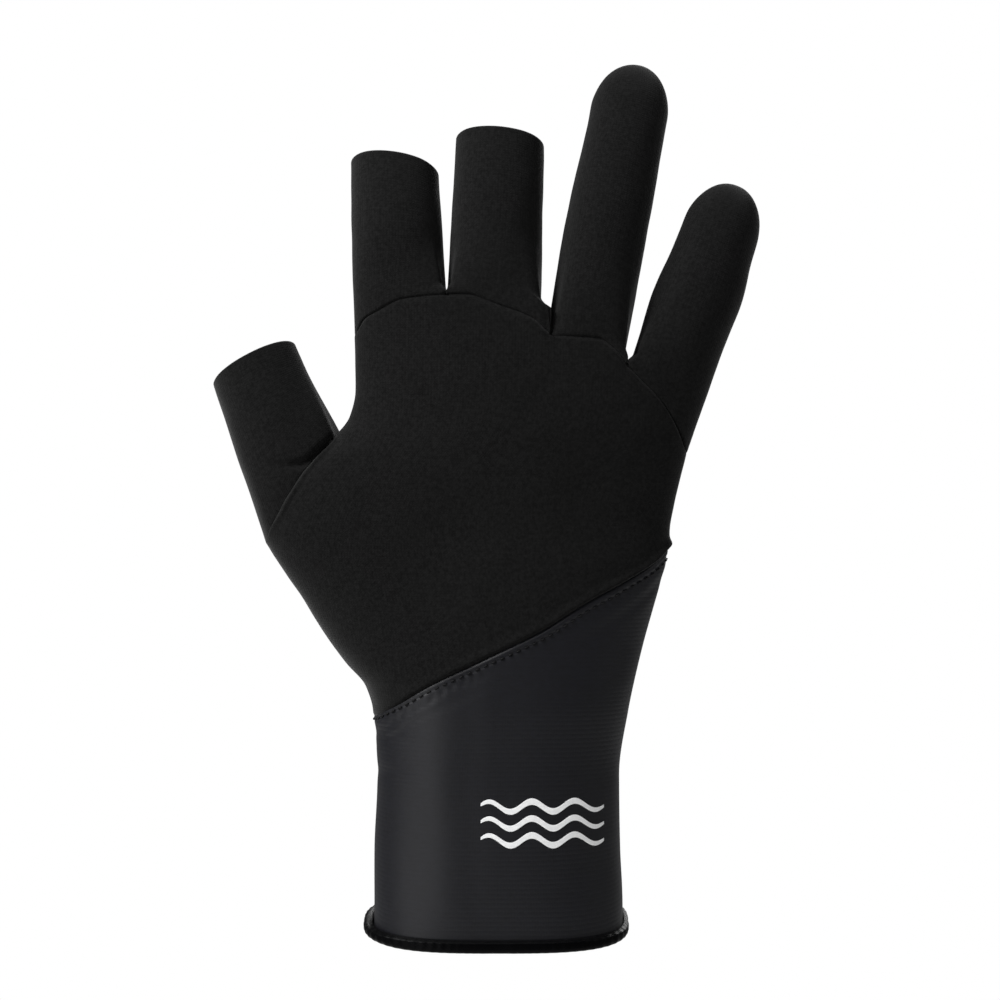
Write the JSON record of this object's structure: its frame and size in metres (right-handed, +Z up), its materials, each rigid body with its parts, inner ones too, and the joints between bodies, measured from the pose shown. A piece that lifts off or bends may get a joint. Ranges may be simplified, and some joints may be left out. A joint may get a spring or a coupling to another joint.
{
  "type": "fishing glove",
  "caption": "Right-hand glove in stretch foam sheet with open thumb, index and middle fingers, closed ring and little fingers, and a long ribbed cuff.",
  "frame": {"origin": "centre of the cuff's mouth", "axes": "+Z up the glove from the cuff to the fingers, -Y out of the back of the hand, -X towards the thumb"},
  "size_m": [0.1682, 0.0539, 0.2705],
  "materials": {
    "chloroprene": "matt jersey-faced chloroprene foam, near black",
    "cuff_fabric": "finely ribbed stretch fabric, charcoal with a soft sheen",
    "binding_tape": "matt elastic binding tape, black"
  },
  "bodies": {
    "root": {"back_panel": "chloroprene", "palm_panel": "chloroprene", "thumb_sleeve": "chloroprene", "index_sleeve": "chloroprene", "middle_sleeve": "chloroprene", "ring_sleeve": "chloroprene", "little_sleeve": "chloroprene", "cuff": "cuff_fabric", "cuff_binding": "binding_tape"}
  },
  "joints": []
}
